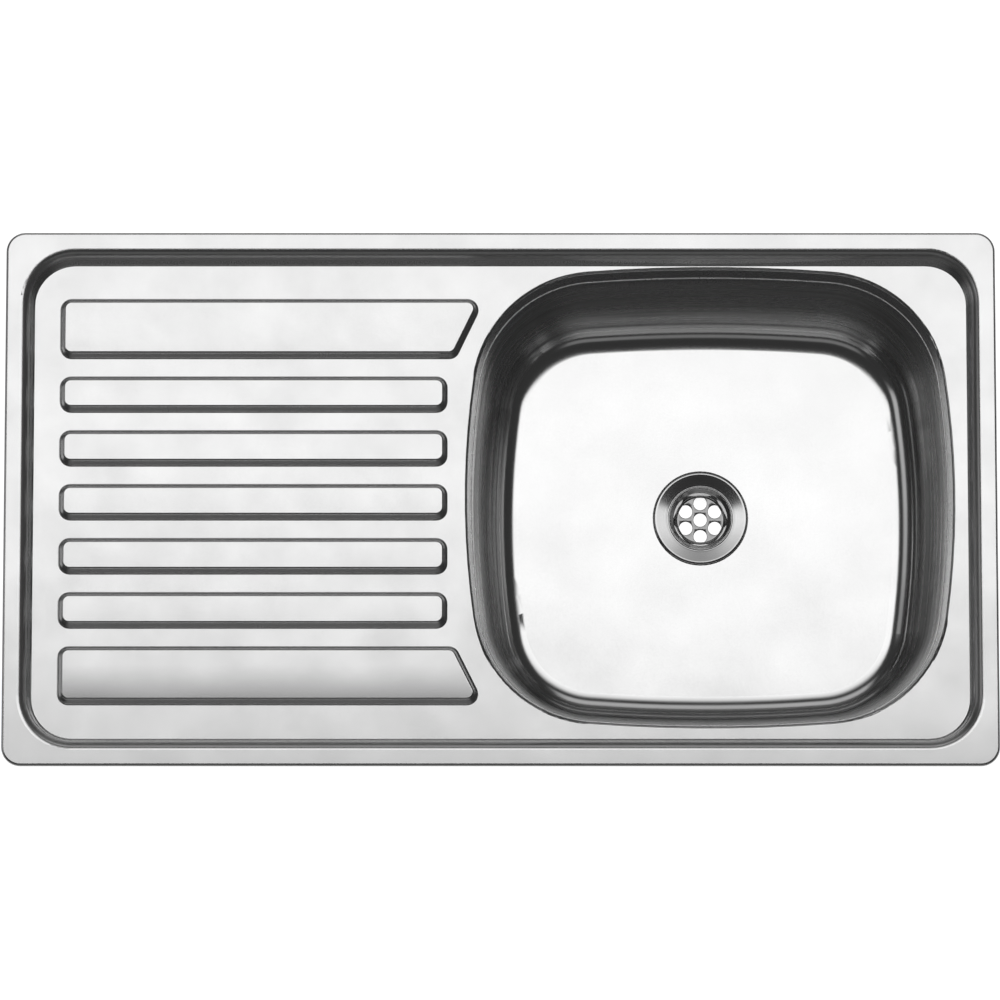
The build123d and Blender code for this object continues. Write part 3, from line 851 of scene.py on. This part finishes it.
inner_loop = min(cut_loops("bowl", bowl_top - cut_below_top), key=reach)
bead_line = bpy.data.curves.new("weld_line", "CURVE")
bead_line.dimensions = "3D"
bead_line.bevel_depth = bead_radius
bead_line.bevel_resolution = 3
spline = bead_line.splines.new("POLY")
spline.points.add(len(inner_loop) - 1)
for point, co in zip(spline.points, inner_loop):
    point.co = (*co, 1)
spline.use_cyclic_u = True
bead_object = bpy.data.objects.new("weld_line", bead_line)
bead = bmesh.new()
bead.from_mesh(bpy.data.meshes.new_from_object(bead_object))
bpy.data.objects.remove(bead_object)
finish_piece(bead, "ground_weld", "bowl", weld_steel)
print("the weld runs", round((cad_box[1].z - bowl_top) / MM, 1), "mm below the rim")

# %% [markdown]
# Eight clamps hang under the deck. Each is drawn once, in a frame of its own with X along its pin
# and the screw at a fixed place, and that frame comes from the record's joints, so every clamp
# finds its own place. The lug and its pin stand upright, while the arm, the screw and the foot
# hang at the joint's rest angle.

# %% Where the clamps lie
joints = {joint["name"]: joint for joint in record["behaviour"]["joints"]}
clamps = [name.removesuffix("_swing") for name in joints if name.endswith("_swing")]
screw_from_pin = 32.0
print("clamps:", [name.removeprefix("clamp_") for name in clamps])


def clamp_frame(clamp, hanging):
    """A clamp's own frame in the sink's: X along the pin, Y outwards, Z up or along the screw."""
    along = Vector(joints[clamp + "_swing"]["axis"])
    up = Vector(joints[clamp + "_travel"]["axis"]) if hanging else Vector((0, 0, 1))
    turn = Matrix((along, up.cross(along), up)).transposed().to_4x4()
    return Matrix.Translation(joints[clamp + "_swing"]["pos_m"]) @ turn


def at_screw(clamp):
    """The same frame with its Z on the screw's axis."""
    return clamp_frame(clamp, True) @ Matrix.Translation((0, screw_from_pin * MM, 0))


# %% Screws, feet and pins
head_corner_radius = 5.773
head_low = -65.0
head_height = 4.0
head_easing = 0.45
shank_outline = [(0, -61.1), (2.5, -61.1), (2.5, -28.6), (2.2, -28.3), (0, -28.3)]
foot_outline = [(0, -28), (2.55, -28), (2.55, -31), (6.2, -31), (6.8, -30.8), (7, -30.3),
                (7, -29.5), (6.6, -29.3), (6.6, -28.9), (7, -28.7), (7, -28.0), (6.6, -27.8),
                (6.6, -27.4), (7, -27.2), (7, -26.6), (6.8, -26.2), (6.3, -26), (5.2, -26),
                (5.0, -26.35), (4.4, -26.35), (4.2, -26), (2.6, -26), (2.4, -26.35),
                (1.7, -26.35), (1.5, -26), (0, -26)]
dome_outline = [(0, 11.3), (1.2, 11.24), (2.2, 11.0), (2.9, 10.7), (3.2, 10.35), (3.1, 10.3),
                (2.0, 10.3)]
pin_outline = dome_outline + [(radius, -height) for radius, height in reversed(dome_outline)]


def make_screw(clamp):
    """A threaded shank with a six-sided head."""
    shape = bmesh.new()
    head_turn = Matrix.Rotation(radians(30), 4, "Z")
    head_place = Matrix.Translation((0, 0, head_low * MM)) @ head_turn
    head_size = {"segments": 6, "cap_ends": True, "radius": head_corner_radius * MM}
    bmesh.ops.create_circle(shape, matrix=head_place, **head_size)
    raised = bmesh.ops.extrude_face_region(shape, geom=shape.faces[:])
    tops = [item for item in raised["geom"] if isinstance(item, bmesh.types.BMVert)]
    bmesh.ops.translate(shape, verts=tops, vec=(0, 0, head_height * MM))
    bevelled = {"offset": head_easing * MM, "segments": 2, "profile": 0.5, "material": -1}
    bmesh.ops.bevel(shape, geom=shape.edges[:], affect="EDGES", **bevelled)
    turned(shape, shank_outline, steps=32, closed=False)
    thread(shape, core=2.5, crest=3.0, pitch=1.0, low=-60.9, high=-31.3, steps=24)
    place_all(shape, at_screw(clamp))
    node = clamp + "_screw"
    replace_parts(finish_piece(shape, node + "_threaded", node), node)


def make_foot(clamp):
    """A ribbed rubber foot with rings on its pressing face."""
    shape = bmesh.new()
    turned(shape, foot_outline, steps=48, closed=False)
    place_all(shape, at_screw(clamp))
    node = clamp + "_foot"
    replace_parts(finish_piece(shape, node + "_ribbed", node), node)


def make_pin(clamp):
    """A pin whose ends are riveted into domes."""
    shape = bmesh.new()
    turned(shape, pin_outline, steps=32, closed=False)
    place_all(shape, clamp_frame(clamp, False) @ Matrix.Rotation(pi / 2, 4, "Y"))
    node = clamp + "_pin"
    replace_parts(finish_piece(shape, node + "_riveted", node), node)


for clamp in clamps:
    make_screw(clamp)
    make_foot(clamp)
    make_pin(clamp)
print("clamps with threaded screws:", len(clamps))

# %% [markdown]
# Strip, foam and moulded rings have no knife edges. A copy of each such CAD part is merged, its
# flat faces are joined again, and a Bevel modifier rounds what is still sharp by as much as the
# material would be: a little on cut strip, more on moulded plastic. A Weighted Normal modifier
# then keeps the large faces level where they meet a curve. The lugs also show the two marks that
# the spot welder left.

# %% Softened copies
flat_angle = radians(0.5)
sharp_angle = radians(40)
mark_shift = 4.4
mark_outline = [(0, 5.4), (1.3, 5.38), (1.7, 5.28), (2.2, 5.3), (2.5, 5.42), (2.55, 5.5)]


def softened(node, width, extra=None):
    """Replaces a CAD node by a copy whose edges are rounded by a width in millimetres."""
    shape = merged_copy(node)
    joined = {"verts": shape.verts, "edges": shape.edges}
    bmesh.ops.dissolve_limit(shape, angle_limit=flat_angle, **joined)
    if extra:
        extra(shape, node)
    piece = finish_piece(shape, node + "_softened", node)
    easing = piece.modifiers.new("softened_edges", "BEVEL")
    easing.width = width * MM
    easing.segments = 2
    easing.limit_method = "ANGLE"
    easing.angle_limit = sharp_angle
    level = piece.modifiers.new("level_faces", "WEIGHTED_NORMAL")
    level.keep_sharp = True
    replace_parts(piece, node)


def weld_marks(shape, node):
    """Two shallow rings on the underside of a lug's base plate."""
    lug_frame = clamp_frame(node.removesuffix("_lug"), False)
    for side in (-1, 1):
        mark = bmesh.new()
        turned(mark, mark_outline, steps=24, closed=False)
        place_all(mark, lug_frame @ Matrix.Translation((side * mark_shift * MM, 0, 0)))
        join_to(shape, mark)


for clamp in clamps:
    softened(clamp + "_arm", 0.35)
    softened(clamp + "_lug", 0.25, weld_marks)
moulded = {"rim_gasket": 0.5, "rubber_washer": 0.5, "slip_ring": 0.4, "backnut": 0.8}
pads = {node: 0.4 for node in frame["nodes"] if node.startswith("sound_pad")}
for node, width in {**moulded, **pads}.items():
    softened(node, width)
print("softened:", 2 * len(clamps) + len(moulded) + len(pads), "pieces")
